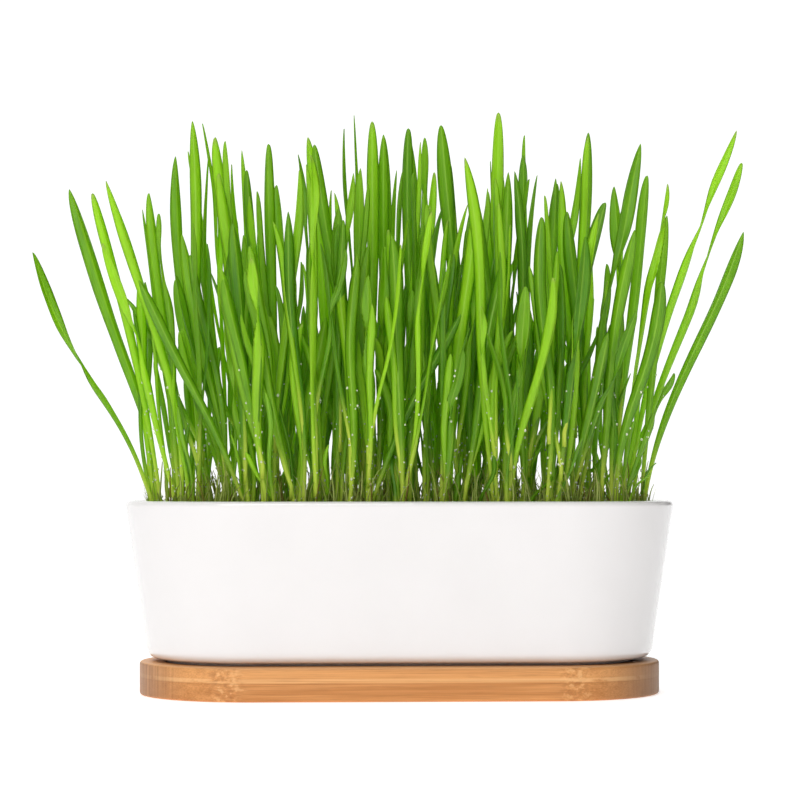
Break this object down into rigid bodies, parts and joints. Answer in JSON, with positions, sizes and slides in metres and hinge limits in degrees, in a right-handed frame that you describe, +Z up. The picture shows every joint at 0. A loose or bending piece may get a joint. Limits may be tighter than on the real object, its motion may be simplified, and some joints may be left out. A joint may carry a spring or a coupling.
{
  "type": "wheatgrass tray",
  "caption": "Wheatgrass seedlings in tufts, growing in soil in a long white glazed pot with round ends that stands on a flat bamboo tray.",
  "frame": {"origin": "middle of the tray's flat underside", "axes": "+Z up, +X along the pot's long side, +Y from the front to the back"},
  "size_m": [0.2168, 0.087, 0.1787],
  "materials": {
    "bamboo": "satin",
    "white_glaze": "gloss",
    "soil": "matte",
    "grass": "satin"
  },
  "bodies": {
    "root": {"bamboo_tray": "bamboo", "ceramic_pot": "white_glaze", "soil": "soil", "grass_tuft_01": "grass", "grass_tuft_02": "grass", "grass_tuft_03": "grass", "grass_tuft_04": "grass", "grass_tuft_05": "grass", "grass_tuft_06": "grass", "grass_tuft_07": "grass", "grass_tuft_08": "grass", "grass_tuft_09": "grass", "grass_tuft_10": "grass", "grass_tuft_11": "grass", "grass_tuft_12": "grass", "grass_tuft_13": "grass", "grass_tuft_14": "grass", "grass_tuft_15": "grass", "grass_tuft_16": "grass", "grass_tuft_17": "grass", "grass_tuft_18": "grass", "grass_tuft_19": "grass", "grass_tuft_20": "grass", "grass_tuft_21": "grass", "grass_tuft_22": "grass", "grass_tuft_23": "grass", "grass_tuft_24": "grass", "grass_tuft_25": "grass", "grass_tuft_26": "grass", "grass_tuft_27": "grass", "grass_tuft_28": "grass", "grass_tuft_29": "grass", "grass_tuft_30": "grass", "grass_tuft_31": "grass", "grass_tuft_32": "grass", "grass_tuft_33": "grass", "grass_tuft_34": "grass", "grass_tuft_35": "grass", "grass_tuft_36": "grass", "grass_tuft_37": "grass", "grass_tuft_38": "grass", "grass_tuft_39": "grass", "grass_tuft_40": "grass", "grass_tuft_41": "grass", "grass_tuft_42": "grass", "grass_tuft_43": "grass", "grass_tuft_44": "grass", "grass_tuft_45": "grass"}
  },
  "joints": []
}
